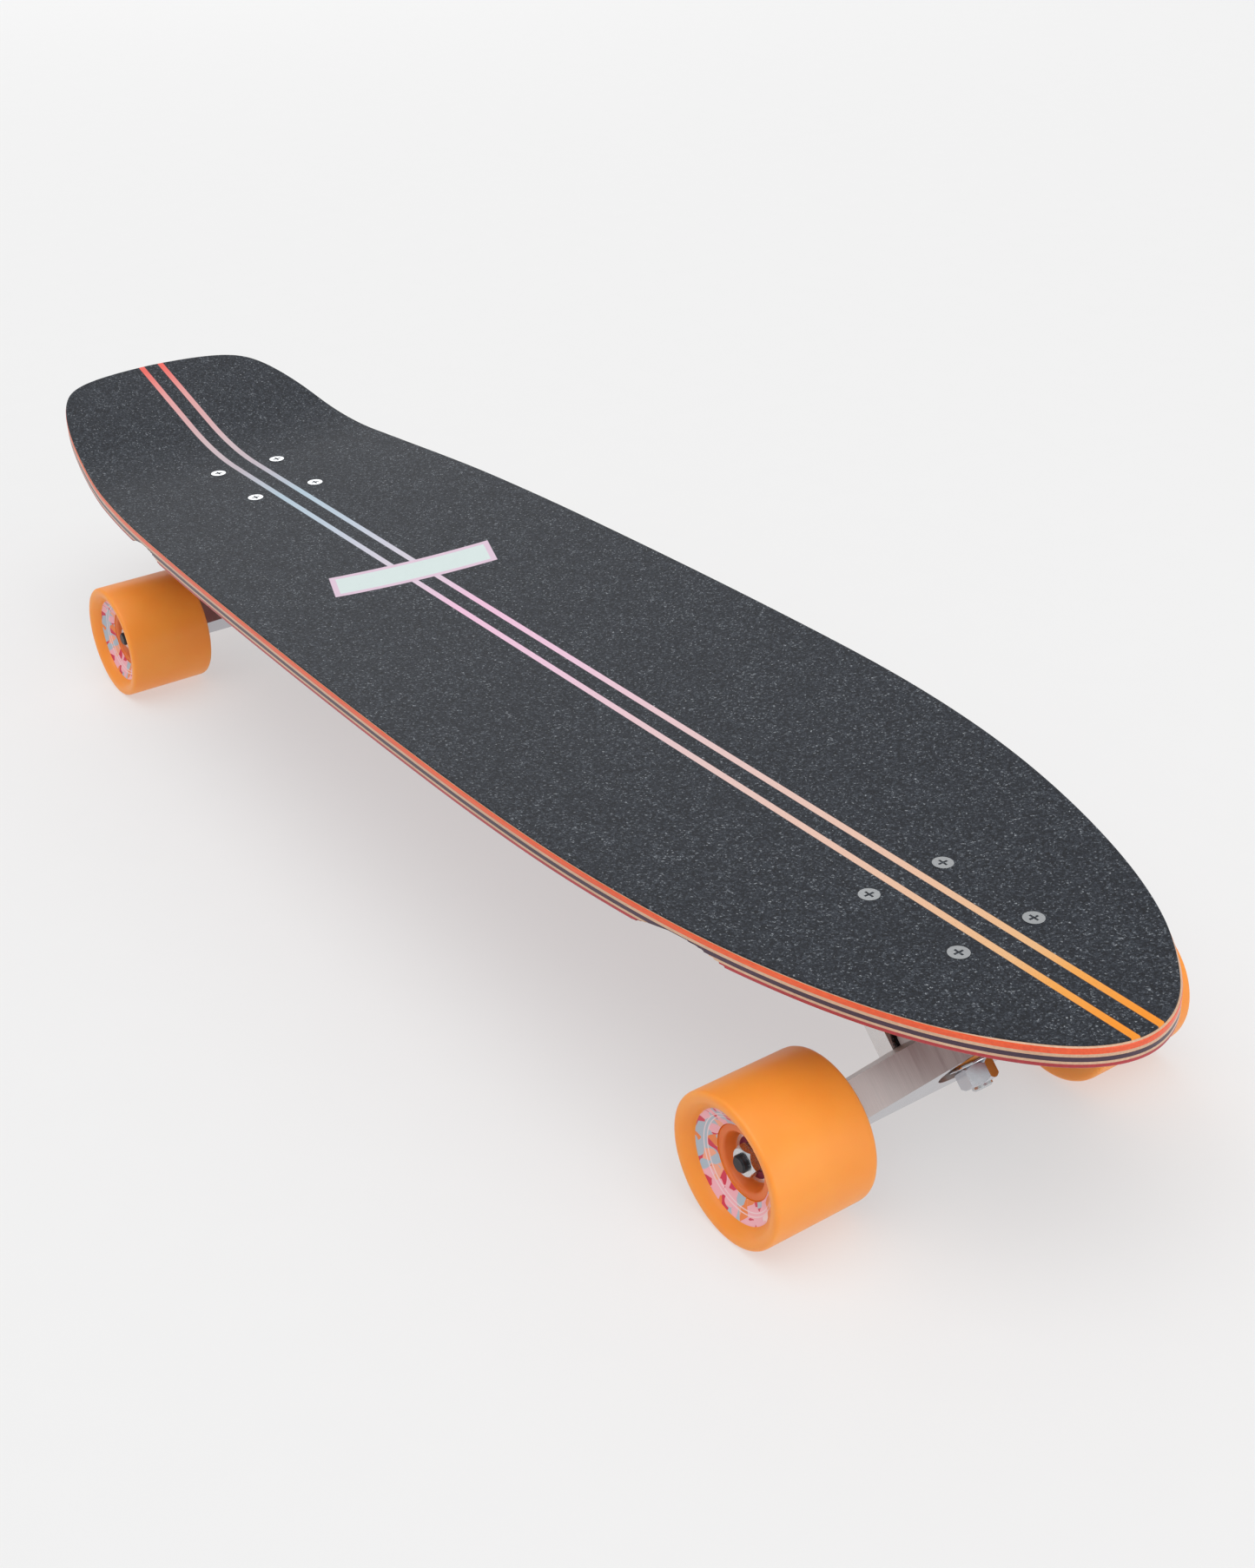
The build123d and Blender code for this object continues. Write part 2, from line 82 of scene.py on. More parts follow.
# %% Material helpers
class Finish:
    """A material under construction, with its Principled shader ready."""

    def __init__(self, name, **shader):
        self.material = bpy.data.materials.new(name)
        self.material.use_nodes = True
        self.tree = self.material.node_tree
        self.shader = self.tree.nodes["Principled BSDF"]
        self.set(self.shader, shader)

    def set(self, node, sockets):
        """Fills sockets by name; underscores stand for spaces."""
        for key, value in sockets.items():
            socket = node.inputs[int(key[1:])] if key[1:].isdigit() else node.inputs[key.replace("_", " ")]
            if isinstance(value, bpy.types.NodeSocket):
                self.tree.links.new(value, socket)
            elif isinstance(value, bpy.types.Node):
                self.tree.links.new(value.outputs[0], socket)
            elif socket.type == "RGBA" and len(value) == 3:
                socket.default_value = (*value, 1)
            else:
                socket.default_value = value

    def add(self, kind, options=None, **sockets):
        """A new node of that kind, with its options and sockets set."""
        node = self.tree.nodes.new("ShaderNode" + kind)
        for key, value in (options or {}).items():
            setattr(node, key, value)
        self.set(node, sockets)
        return node

    def math(self, operation, a, b=0.0, c=0.0, clamp=False):
        """One step of arithmetic."""
        options = {"operation": operation, "use_clamp": clamp}
        return self.add("Math", options, _0=a, _1=b, _2=c).outputs[0]

    def place(self):
        """The point being shaded, in metres in the board's own frame."""
        return self.add("TexCoord").outputs["Object"]

    def scaled(self, vector, x, y, z):
        """A vector stretched by three factors."""
        return self.add("VectorMath", {"operation": "MULTIPLY"}, _0=vector, _1=(x, y, z)).outputs[0]

    def noise(self, vector, scale, detail=2.0, roughness=0.5):
        """Cloudy noise from 0 to 1."""
        made = self.add("TexNoise", None, Vector=vector, Scale=scale, Detail=detail, Roughness=roughness)
        return made.outputs["Fac"]

    def ramp(self, value, stops, interpolation="LINEAR"):
        """Colours along a value: a list of (place, colour)."""
        made = self.add("ValToRGB", None, Fac=value)
        ramp = made.color_ramp
        ramp.interpolation = interpolation
        while len(ramp.elements) < len(stops):
            ramp.elements.new(0.5)
        for element, (place, colour) in zip(ramp.elements, stops):
            element.position = place
            element.color = (*colour, 1)
        return made.outputs["Color"]

    def mix(self, share, a, b, blend="MIX"):
        """Two colours mixed by a share from 0 to 1."""
        options = {"data_type": "RGBA", "blend_type": blend}
        return self.add("Mix", options, _0=share, _6=a, _7=b).outputs[2]

    def span(self, value, low, high, new_low=0.0, new_high=1.0):
        """A value mapped from one range to another, and held inside it."""
        sockets = {"Value": value, "From_Min": low, "From_Max": high, "To_Min": new_low, "To_Max": new_high}
        return self.add("MapRange", None, **sockets).outputs[0]

    def bump(self, height, strength=0.3, distance=0.0005):
        """Fine relief for the shader's normal."""
        made = self.add("Bump", None, Strength=strength, Distance=distance, Height=height)
        self.set(self.shader, {"Normal": made.outputs[0]})

    def finish(self, **shader):
        """Plugs the last sockets in and hands the material over."""
        self.set(self.shader, shader)
        return self.material


def srgb(red, green, blue):
    """A colour given on a 0 to 255 scale, as the linear light that shaders use."""
    def linear(value):
        value /= 255
        return value / 12.92 if value <= 0.04045 else ((value + 0.055) / 1.055) ** 2.4
    return (linear(red), linear(green), linear(blue))


def wear(node_name, material):
    """Gives a CAD node its finish."""
    mesh = nodes[node_name].data
    if mesh.materials:
        mesh.materials[0] = material
    else:
        mesh.materials.append(material)


print("helpers are ready; full-scale orange is", [round(c, 3) for c in srgb(255, 128, 0)])

# %% [markdown]
# ## The studio
# A product on a seamless pale floor, lit by a big soft source overhead, shows its own colours
# and drops a gentle shadow that fixes it to the ground. The floor is one wide sheet. The camera
# stands low and to the right of the nose and looks back along the board.

# %% Camera
CAMERA_AT = Vector((0.8562, -0.5014, 0.5729))
AZIMUTH, ELEVATION, ROLL = math.radians(55.98), math.radians(29.34), math.radians(-1.915)
LENS, SENSOR = 46.66, 36.0

back = Vector((math.sin(AZIMUTH) * math.cos(ELEVATION), -math.cos(AZIMUTH) * math.cos(ELEVATION),
               math.sin(ELEVATION)))
level = Vector((math.cos(AZIMUTH), math.sin(AZIMUTH), 0))
upright = back.cross(level)
right = level * math.cos(ROLL) + upright * math.sin(ROLL)
up = upright * math.cos(ROLL) - level * math.sin(ROLL)
lens = bpy.data.cameras.new("studio_camera")
lens.lens, lens.sensor_width, lens.clip_start = LENS, SENSOR, 0.01
camera = bpy.data.objects.new("studio_camera", lens)
bpy.context.scene.collection.objects.link(camera)
turn = Matrix((right, up, back)).transposed().to_4x4()
camera.matrix_world = Matrix.Translation(CAMERA_AT) @ turn
bpy.context.scene.camera = camera
print("camera %.2f m from the middle of the deck" % (CAMERA_AT - Vector((0, 0, grip_low.z))).length)

# %% Floor
FLOOR_HALF = 9.0
FLOOR_TONE = (0.375, 0.385)           # paper grey, darkest and lightest
FLOOR_GLOW = 0.475                    # a lit table under the board keeps its shadow light


def link(name, mesh):
    """Puts a finished mesh in the scene under a plain name."""
    made = bpy.data.objects.new(name, mesh)
    bpy.context.scene.collection.objects.link(made)
    return made


def make_floor():
    """A seamless sheet of pale studio floor."""
    mesh = bpy.data.meshes.new("studio_floor")
    h = FLOOR_HALF
    mesh.from_pydata([(-h, -h, 0), (h, -h, 0), (h, h, 0), (-h, h, 0)], [], [(0, 1, 2, 3)])
    floor = link("studio_floor", mesh)
    paper = Finish("studio_paper", Roughness=0.9, Specular_IOR_Level=0.0)
    grain = paper.noise(paper.place(), 35.0, 4.0)
    tone = paper.ramp(grain, [(0.0, FLOOR_TONE[:1] * 3), (1.0, FLOOR_TONE[1:] * 3)])
    glow = {"Emission_Color": (1, 1, 1, 1), "Emission_Strength": FLOOR_GLOW}
    mesh.materials.append(paper.finish(Base_Color=tone, **glow))


make_floor()
print("floor sheet is", 2 * FLOOR_HALF, "m square")

# %% [markdown]
# ### Light
# One broad light overhead does most of the work. A panel beyond the tail and a small one near
# the nose lift the kicktail and the front wheel. The air is darker near the horizon than
# overhead, so that polished metal has something to show besides white.

# %% Light
CEILING_TILT, CEILING_POWER, CEILING_SOFTNESS = (14, 10), 1.45, 70
PANELS = (                            # name, place, what it points at, width, power
    ("tail_panel", (-4.6, 2.1, 2.1), (-0.2, 0, 0.1), 2.4, 26),
    ("nose_panel", (2.3, 0.35, 0.55), (0.3, 0, 0.03), 1.2, 9),
)
HORIZON, ZENITH, HORIZON_TOP = 0.42, 0.66, 0.05


def make_lamp(name, place, aim, width, power):
    """A soft square panel of light."""
    data = bpy.data.lights.new(name, "AREA")
    data.size, data.energy = width, power
    lamp = bpy.data.objects.new(name, data)
    bpy.context.scene.collection.objects.link(lamp)
    lamp.location = place
    lamp.rotation_euler = (Vector(aim) - Vector(place)).to_track_quat("-Z", "Y").to_euler()


def make_ceiling_light():
    """A wide even light from far overhead, as from a white ceiling with lamps bounced off it."""
    tilt_x, tilt_y = CEILING_TILT
    data = bpy.data.lights.new("ceiling", "SUN")
    data.energy, data.angle = CEILING_POWER, math.radians(CEILING_SOFTNESS)
    lamp = bpy.data.objects.new("ceiling", data)
    bpy.context.scene.collection.objects.link(lamp)
    lamp.rotation_euler = (math.radians(tilt_x), math.radians(tilt_y), 0)


def make_air():
    """The studio air, fading from the horizon to overhead."""
    world = bpy.data.worlds.new("studio_air")
    bpy.context.scene.world = world
    world.use_nodes = True
    air, links = world.node_tree.nodes, world.node_tree.links
    direction = air.new("ShaderNodeTexCoord")
    parts = air.new("ShaderNodeSeparateXYZ")
    fade = air.new("ShaderNodeValToRGB")
    low, high = fade.color_ramp.elements
    low.position = HORIZON_TOP
    low.color = (HORIZON, HORIZON, HORIZON, 1)
    high.color = (ZENITH, ZENITH, ZENITH, 1)
    links.new(direction.outputs["Generated"], parts.inputs[0])
    links.new(parts.outputs["Z"], fade.inputs[0])
    links.new(fade.outputs["Color"], air["Background"].inputs["Color"])
    air["Background"].inputs["Strength"].default_value = 1.0


make_ceiling_light()
for name, place, aim, width, power in PANELS:
    make_lamp(name, place, aim, width, power)
make_air()
bpy.context.scene.view_settings.view_transform = "Standard"
print("lit by", len(bpy.data.lights), "lamps and the air")

# %% [markdown]
# ## The pressed shape of the deck
# A deck is pressed in a mould and then cut and sanded. So its shape here is a height over the
# plan, with a hollow across and a kicktail behind, and an outline drawn as one smooth closed
# curve through a few stations. Every ply and the grip tape are made from these two things.

# %% The moulded surface
GRIP_TOP = 0.1154
HOLLOW = (                            # place along the board, radius of the hollow across it, in mm
    (-457, 2900), (-369, 2800), (-282, 2200), (-200, 1150), (-119, 965), (31, 868), (181, 811),
    (270, 850), (344, 1040), (457, 1250),
)
KICK_START, KICK_RADIUS, KICK_ANGLE = -0.3158, 0.227, math.radians(16.5)
HALF_OUTLINE = (
    (-457.2, 0), (-456.3, 20), (-453.6, 40), (-444, 63), (-421, 77), (-370, 89), (-290, 100.3),
    (-190, 108.6), (-60, 113.8), (110, 116.3), (210, 113.6), (290, 103.2), (352, 86.6),
    (402, 64.6), (433, 42.6), (451.0, 21.5), (457.2, 0),
)


def hollow_table(x):
    """Half the curvature across the board, eased between the places where it is given."""
    places = np.array([place for place, _ in HOLLOW]) * MM
    values = np.array([1 / (2 * radius * MM) for _, radius in HOLLOW])
    reach = np.linspace(-0.02, 0.02, 9)
    return np.mean([np.interp(x + offset, places, values) for offset in reach], axis=0)


def surface_height(x, y):
    """Height of the grip's top over the ground; x and y may be arrays."""
    bend_end = KICK_START - KICK_RADIUS * math.sin(KICK_ANGLE)
    into_bend = np.clip(KICK_START - x, 0, KICK_START - bend_end)
    rise = KICK_RADIUS - np.sqrt(KICK_RADIUS ** 2 - into_bend ** 2)
    rise = rise + np.clip(bend_end - x, 0, None) * math.tan(KICK_ANGLE)
    return GRIP_TOP + rise + hollow_table(x) * y * y


def closed_spline(points, count):
    """Points spread along a smooth closed curve through a few stations."""
    points = np.array(points, float)
    ring = np.vstack([points, points[:1]])
    knots = np.concatenate([[0], np.cumsum(np.linalg.norm(np.diff(ring, axis=0), axis=1))])
    step = np.diff(knots)
    n = len(points)
    rows = np.zeros((n, n))
    pull = np.zeros((n, 2))
    for i in range(n):
        before, after = step[i - 1], step[i]
        rows[i, i - 1] += after
        rows[i, i] += 2 * (before + after)
        rows[i, (i + 1) % n] += before
        pull[i] = 3 * (after * (points[i] - points[i - 1]) / before
                       + before * (ring[i + 1] - points[i]) / after)
    slope = np.linalg.solve(rows, pull)
    slope = np.vstack([slope, slope[:1]])

    def at(t):
        i = np.clip(np.searchsorted(knots, t, side="right") - 1, 0, n - 1)
        h = step[i][:, None]
        u = ((t - knots[i]) / step[i])[:, None]
        spot = ((2 * u ** 3 - 3 * u ** 2 + 1) * ring[i] + (u ** 3 - 2 * u ** 2 + u) * h * slope[i]
                + (3 * u ** 2 - 2 * u ** 3) * ring[i + 1] + (u ** 3 - u ** 2) * h * slope[i + 1])
        return spot

    fine = at(np.linspace(0, knots[-1], 20000))
    along = np.concatenate([[0], np.cumsum(np.linalg.norm(np.diff(fine, axis=0), axis=1))])
    t = np.interp(np.linspace(0, along[-1], count + 1)[:-1], along, np.linspace(0, knots[-1], 20000))
    return at(t)


STATIONS = 380


def half_outline():
    """Stations from the tail's tip to the nose's tip along the left edge, with inward normals."""
    left = [(x * MM, y * MM) for x, y in HALF_OUTLINE]
    right = [(x, -y) for x, y in reversed(left[1:-1])]
    ring = closed_spline(left + right, 2 * STATIONS)
    ahead = np.roll(ring, -1, axis=0) - np.roll(ring, 1, axis=0)
    ahead /= np.linalg.norm(ahead, axis=1)[:, None]
    inward = np.stack([ahead[:, 1], -ahead[:, 0]], axis=1)
    return ring[:STATIONS + 1], inward[:STATIONS + 1]


edge_points, edge_inward = half_outline()
print("outline runs from x = %.4f to %.4f and is %.4f wide"
      % (edge_points[0, 0], edge_points[-1, 0], 2 * edge_points[:, 1].max()))

# %% [markdown]
# ## The plies
# The edge of a real deck is routed round after pressing, and the wheel wells are scooped out
# with a sanding drum, so the coloured plies show as contour lines in the scoops. To get that
# for nothing, each ply is a solid between two depths, and its edge at every depth is found by
# one rule: how far in the round-over and the drum have cut at that depth.

# %% Ply geometry
PLY_DEPTHS = (0.45, 1.3, 1.3, 1.4, 2.05, 1.15, 2.08)    # mm, from the top down
GRIP_THICKNESS = 0.7 * MM
PLIES = 7
WOOD = sum(PLY_DEPTHS) * MM
TOP_ROUND, BOTTOM_ROUND = 1.2 * MM, 1.0 * MM
WELL_RADIUS, WELL_OFFSET = 66 * MM, 51.5 * MM
WELL_LENGTH, WELL_DEPTH = 43 * MM, 4.7 * MM
well_centres = (front_axle.x - WELL_OFFSET, rear_axle.x + WELL_OFFSET)


def cut_back(depth):
    """How far in from the outline the wood's edge lies, at one depth below the wood's top."""
    inset = np.zeros(len(edge_points))
    for reach, radius in ((depth, TOP_ROUND), (WOOD - depth, BOTTOM_ROUND)):
        if reach < radius:
            inset += radius - math.sqrt(radius ** 2 - (radius - max(reach, 0)) ** 2)
    for centre in well_centres:
        away = edge_points[:, 0] - centre
        drum = (WOOD - depth + away ** 2 / (2 * WELL_RADIUS)) / WELL_DEPTH
        inset = np.maximum(inset, WELL_LENGTH * (1 - drum))
    return inset


def deck_slab(name, levels, inset_at, columns):
    """A closed slab of the pressed shape, with its edge cut back by inset_at(depth) at each level."""
    count = len(edge_points)
    vertices = []
    rings = []
    for below in levels:
        spots = edge_points + edge_inward * inset_at(below)[:, None]
        sides = []
        for sign in (1, -1):
            z = surface_height(spots[:, 0], spots[:, 1]) - below
            first = len(vertices)
            vertices += list(zip(spots[:, 0], sign * spots[:, 1], z))
            sides.append(list(range(first, first + count)))
        sides[1][0], sides[1][-1] = sides[0][0], sides[0][-1]
        rings.append(sides)
    faces = []
    for upper, lower in zip(rings, rings[1:]):
        for side, flip in ((0, False), (1, True)):
            for i in range(count - 1):
                face = (upper[side][i], upper[side][i + 1], lower[side][i + 1], lower[side][i])
                faces.append(face[::-1] if flip else face)
    for ring, below, flip in ((rings[0], levels[0], False), (rings[-1], levels[-1], True)):
        rows = []
        for i in range(count):
            left, right_ = ring[0][i], ring[1][i]
            if left == right_:
                rows.append([left] * (columns + 1))
                continue
            x, y = vertices[left][0], vertices[left][1]
            row = [left]
            for j in range(1, columns):
                across = y * (1 - 2 * j / columns)
                vertices.append((x, across, float(surface_height(np.array(x), across)) - below))
                row.append(len(vertices) - 1)
            rows.append(row + [right_])
        for i in range(count - 1):
            for j in range(columns):
                corners = (rows[i][j], rows[i][j + 1], rows[i + 1][j + 1], rows[i + 1][j])
                face = tuple(dict.fromkeys(corners))
                faces.append(face[::-1] if flip else face)
    mesh = bpy.data.meshes.new(name)
    mesh.from_pydata(vertices, [], faces)
    for polygon in mesh.polygons:
        polygon.use_smooth = True
    mesh.set_sharp_from_angle(angle=math.radians(32))
    return link(name, mesh)


plies = []
for number in range(PLIES):
    steps = 8 if number in (0, PLIES - 1) else 5
    top = GRIP_THICKNESS + sum(PLY_DEPTHS[:number]) * MM
    bottom = top + PLY_DEPTHS[number] * MM
    levels = [top + (bottom - top) * i / steps for i in range(steps + 1)]
    outer = number in (0, PLIES - 1)
    ply = deck_slab("maple_ply_%d" % (number + 1), levels,
                    lambda below: cut_back(below - GRIP_THICKNESS), 24 if outer else 10)
    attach(ply, "board")
    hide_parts("deck_ply_%d" % (number + 1))
    plies.append(ply)
print("made", len(plies), "plies with", sum(len(p.data.polygons) for p in plies), "faces")

# %% [markdown]
# ## The grip tape
# Grip tape is a thin sheet with coarse grit in black resin, cut just inside the sanded edge.
# Two bright stripes and an emblem are printed into it. The sheet is a slab like the plies.

# %% Grip sheet
GRIP_INSET, NOSE_INSET = 0.35 * MM, 1.1 * MM
NOSE_START, NOSE_EASE = 0.405, 0.035
KNIFE_SLOPE, KNIFE_SET = 0.35, 0.0002  # the knife leans, so the sheet is widest at its foot


def grip_edge(below):
    """The sheet is cut close along the sides and a little shorter round the nose."""
    ahead = np.clip((edge_points[:, 0] - NOSE_START) / NOSE_EASE, 0, 1)
    flare = KNIFE_SLOPE * below
    return GRIP_INSET + (NOSE_INSET - GRIP_INSET) * ahead * ahead * (3 - 2 * ahead) - flare + KNIFE_SET


grip = deck_slab("grip_sheet", [0.0, GRIP_THICKNESS * 0.5, GRIP_THICKNESS], grip_edge, 40)
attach(grip, "board")
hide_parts("grip_tape")
print("grip sheet has", len(grip.data.polygons), "faces")

# %% [markdown]
# ### Grip finish
# The grit is a field of little grains, each with its own grey, over a blue-black resin. Two
# cell patterns of different sizes give the speckle, and the same pattern drives the relief, so
# that bright grains also stand up. The print is drawn from the place on the board alone: two
# bands either side of the middle, whose ink shifts along the length, and a slanted bar across.

# %% Grip material
STRIPE_CENTRE, STRIPE_WIDTH = 6.84 * MM, 3.9 * MM
EMBLEM_CENTRE, EMBLEM_HALF = (-96.5 * MM, 0.0), (14.0 * MM, 49.5 * MM)
EMBLEM_SLANT, EMBLEM_BORDER = 0.10, 3.4 * MM
INKS = (                              # place along the board in mm, then the ink's colour
    (-452, (240, 100, 88)), (-420, (230, 158, 156)), (-356, (208, 184, 188)),
    (-308, (190, 180, 190)), (-250, (176, 198, 213)), (-190, (186, 200, 215)),
    (-100, (216, 204, 217)), (-36, (240, 190, 218)), (60, (236, 196, 217)),
    (180, (229, 196, 193)), (300, (233, 191, 168)), (390, (236, 184, 130)),
    (412, (244, 168, 78)), (446, (248, 150, 32)),
)


def band(finish, value, half, soft):
    """1 where a value lies within half of zero, falling to 0 over a soft edge."""
    return finish.span(finish.math("ABSOLUTE", value), half + soft, half - soft)


def grip_finish():
    """Mineral grit in resin, with stripes and a bar printed into it."""
    made = Finish("grip_grit", Roughness=0.62, Specular_IOR_Level=0.35)
    place = made.place()
    axes = made.add("SeparateXYZ", None, Vector=place)
    x, y = axes.outputs[0], axes.outputs[1]
    coarse = made.add("TexVoronoi", None, Vector=place, Scale=1150.0)
    fine = made.add("TexVoronoi", None, Vector=place, Scale=2300.0)
    grain = made.math("MULTIPLY", coarse.outputs["Color"], 0.6)
    grain = made.math("ADD", grain, made.math("MULTIPLY", fine.outputs["Color"], 0.4))
    cloud = made.span(made.noise(place, 55.0, 3.0), 0.3, 0.7, -0.022, 0.022)
    grain = made.math("ADD", grain, cloud)
    grit = made.ramp(grain, [
        (0.10, srgb(8, 10, 15)), (0.38, srgb(22, 26, 34)), (0.56, srgb(35, 40, 49)),
        (0.76, srgb(68, 74, 82)), (0.92, srgb(165, 170, 175)),
    ])
    along = made.span(x, -0.4572, 0.4572)
    ink = made.ramp(along, [((at / 1000 + 0.4572) / 0.9144, srgb(*c)) for at, c in INKS])
    off_stripe = made.math("SUBTRACT", made.math("ABSOLUTE", y), STRIPE_CENTRE)
    stripe = band(made, off_stripe, STRIPE_WIDTH / 2, 0.15 * MM)
    lean = made.math("MULTIPLY", y, -EMBLEM_SLANT)
    across = made.math("SUBTRACT", made.math("ADD", x, lean), EMBLEM_CENTRE[0])
    shift = made.math("SUBTRACT", y, made.math("MULTIPLY", across, -0.35))
    bar = made.math("MULTIPLY", band(made, across, EMBLEM_HALF[0], 0.15 * MM),
                    band(made, shift, EMBLEM_HALF[1], 0.15 * MM))
    field = made.math("MULTIPLY", band(made, across, EMBLEM_HALF[0] - EMBLEM_BORDER, 0.15 * MM),
                      band(made, shift, EMBLEM_HALF[1] - EMBLEM_BORDER, 0.15 * MM))
    paint = made.mix(bar, ink, (*srgb(222, 194, 213), 1))
    paint = made.mix(field, paint, (*srgb(213, 227, 225), 1))
    printed = made.math("MAXIMUM", stripe, bar)
    cover = made.math("MULTIPLY", printed, made.span(grain, 0.06, 0.2, 0.82, 0.97))
    colour = made.mix(cover, grit, paint)
    made.bump(grain, 0.5, 0.0004)
    return made.finish(Base_Color=colour, Roughness=made.span(printed, 0, 1, 0.62, 0.5))


grip.data.materials.append(grip_finish())
print("grip finish mixes", len(INKS), "inks along the stripes")

# %% [markdown]
# ### Maple
# Dyed veneer keeps its grain: the stain sinks deeper between the fibres. The fibres run along
# the board, so the noise is stretched a lot along X and squeezed across it. A thin clear coat
# gives the satin shine of a sealed edge.

# %% Wood materials
def maple(name, light, dark, coat=0.35, under=None):
    """Sealed maple veneer between a light and a dark tone, with a stain of its own underneath."""
    made = Finish(name, Roughness=0.46, Coat_Weight=coat, Coat_Roughness=0.22)
    place = made.place()
    fibres = made.noise(made.scaled(place, 22, 900, 900), 1.0, 5.0, 0.6)
    figure = made.noise(made.scaled(place, 2.2, 38, 120), 1.0, 3.0)
    pores = made.noise(made.scaled(place, 130, 2600, 2600), 1.0, 1.0)
    tone = made.math("ADD", made.math("MULTIPLY", fibres, 0.55), made.math("MULTIPLY", figure, 0.45))
    colour = made.ramp(made.span(tone, 0.33, 0.66), [(0.0, dark), (1.0, light)])
    speck = made.span(pores, 0.66, 0.74, 0.0, 0.35)
    colour = made.mix(speck, colour, tuple(0.55 * c for c in dark) + (1,))
    if under:
        facing = made.add("SeparateXYZ", None, Vector=made.add("TexCoord").outputs["Normal"]).outputs[2]
        stain = made.mix(tone, (*dark, 1), (*under, 1))
        colour = made.mix(made.span(facing, -0.8, -0.95), colour, stain)
    made.bump(fibres, 0.12, 0.0002)
    return made.finish(Base_Color=colour)


NATURAL = maple("natural_maple", srgb(222, 184, 152), srgb(194, 151, 121))
ORANGE = maple("orange_maple", srgb(246, 98, 40), srgb(222, 70, 22))
PURPLE = maple("purple_maple", srgb(66, 28, 56), srgb(42, 16, 38))
CRIMSON = maple("crimson_maple", srgb(186, 38, 48), srgb(150, 26, 36), under=srgb(122, 70, 64))
STACK = (
    (NATURAL, "natural_veneer"), (ORANGE, "orange_veneer"), (ORANGE, "orange_veneer"),
    (NATURAL, "natural_veneer"), (PURPLE, "purple_veneer"), (NATURAL, "natural_veneer"),
    (CRIMSON, "crimson_veneer"),
)
for ply, (material, slot_name) in zip(plies, STACK):
    ply.data.materials.append(material)
print("the stack from the top:", [slot_name for _, slot_name in STACK])

# %% [markdown]
# ## Wheels
# A cast wheel is a solid of revolution, so one half-section turned round the axle makes it. The
# section is drawn once as a few points, with a radius at each corner to round it off, and every
# wheel is turned from the same list.

# %% Turning a section
TURNS = 112


def rounded(points, steps=5):
    """A section with corners rounded: each point is (radius, distance out, corner radius) in mm."""
    smooth = []
    count = len(points)
    for i, (r, y, corner) in enumerate(points):
        here = Vector((r, y))
        if corner == 0:
            smooth.append(here)
            continue
        before = Vector(points[i - 1][:2]) - here
        after = Vector(points[(i + 1) % count][:2]) - here
        reach = min(corner, before.length * 0.49, after.length * 0.49)
        a, b = here + before.normalized() * reach, here + after.normalized() * reach
        for step in range(steps + 1):
            t = step / steps
            smooth.append(a * (1 - t) ** 2 + here * 2 * t * (1 - t) + b * t ** 2)
    return smooth


def turned(name, section, centre, side):
    """A section in mm turned round an axle through centre; the print's flat layout goes in its UVs."""
    rows = len(section)
    angles = [2 * math.pi * k / TURNS for k in range(TURNS)]
    vertices = [
        (centre.x + r * MM * math.sin(a), side * y * MM, centre.z + r * MM * math.cos(a))
        for r, y in section for a in angles
    ]
    faces = []
    for i in range(rows):
        for k in range(TURNS):
            a, b = i * TURNS + k, i * TURNS + (k + 1) % TURNS
            c, d = ((i + 1) % rows) * TURNS + (k + 1) % TURNS, ((i + 1) % rows) * TURNS + k
            faces.append((a, b, c, d) if side > 0 else (d, c, b, a))
    mesh = bpy.data.meshes.new(name)
    mesh.from_pydata(vertices, [], faces)
    layout = mesh.uv_layers.new(name="flat")
    for loop in mesh.loops:
        x, _, z = vertices[loop.vertex_index]
        layout.data[loop.index].uv = ((x - centre.x) / 0.05, (z - centre.z) / 0.05)
    for polygon in mesh.polygons:
        polygon.use_smooth = True
    mesh.set_sharp_from_angle(angle=math.radians(40))
    bm = bmesh.new()
    bm.from_mesh(mesh)
    bmesh.ops.recalc_face_normals(bm, faces=bm.faces)
    bm.to_mesh(mesh)
    bm.free()
    return link(name, mesh)


TYRE = (                              # radius, distance from the board's middle, corner
    (17.0, 74.0, 0), (24.0, 67.7, 1.6), (28.0, 65.2, 2.2), (34.7, 65.2, 3.6),
    (34.7, 118.0, 3.6), (30.2, 118.0, 2.6), (26.6, 114.6, 1.6), (25.6, 112.8, 0.9), (17.0, 108.2, 0),
)
CORE = (
    (17.0, 74.0, 0), (17.0, 107.7, 0.5), (16.3, 108.0, 0.5), (14.0, 108.0, 0.8), (13.2, 107.3, 0.6),
    (11.4, 102.9, 0.5), (11.0, 102.5, 0), (11.0, 95.5, 0), (9.8, 95.5, 0), (9.8, 85.5, 0),
    (11.0, 85.5, 0), (11.0, 78.5, 0), (11.4, 78.1, 0), (13.5, 74.0, 0.8),
)

print("sections have", len(rounded(TYRE)), "and", len(rounded(CORE)), "points; turned in", TURNS, "steps")

# %% [markdown]
# ### Urethane and the printed ring
# Cast urethane is slightly milky: light goes in a few millimetres and comes out warmer, which
# is why thin lips glow. A little subsurface scattering does that. The ring inside the dish is a
# cut-paper print of random flat shapes, made from two cell patterns laid over each other.

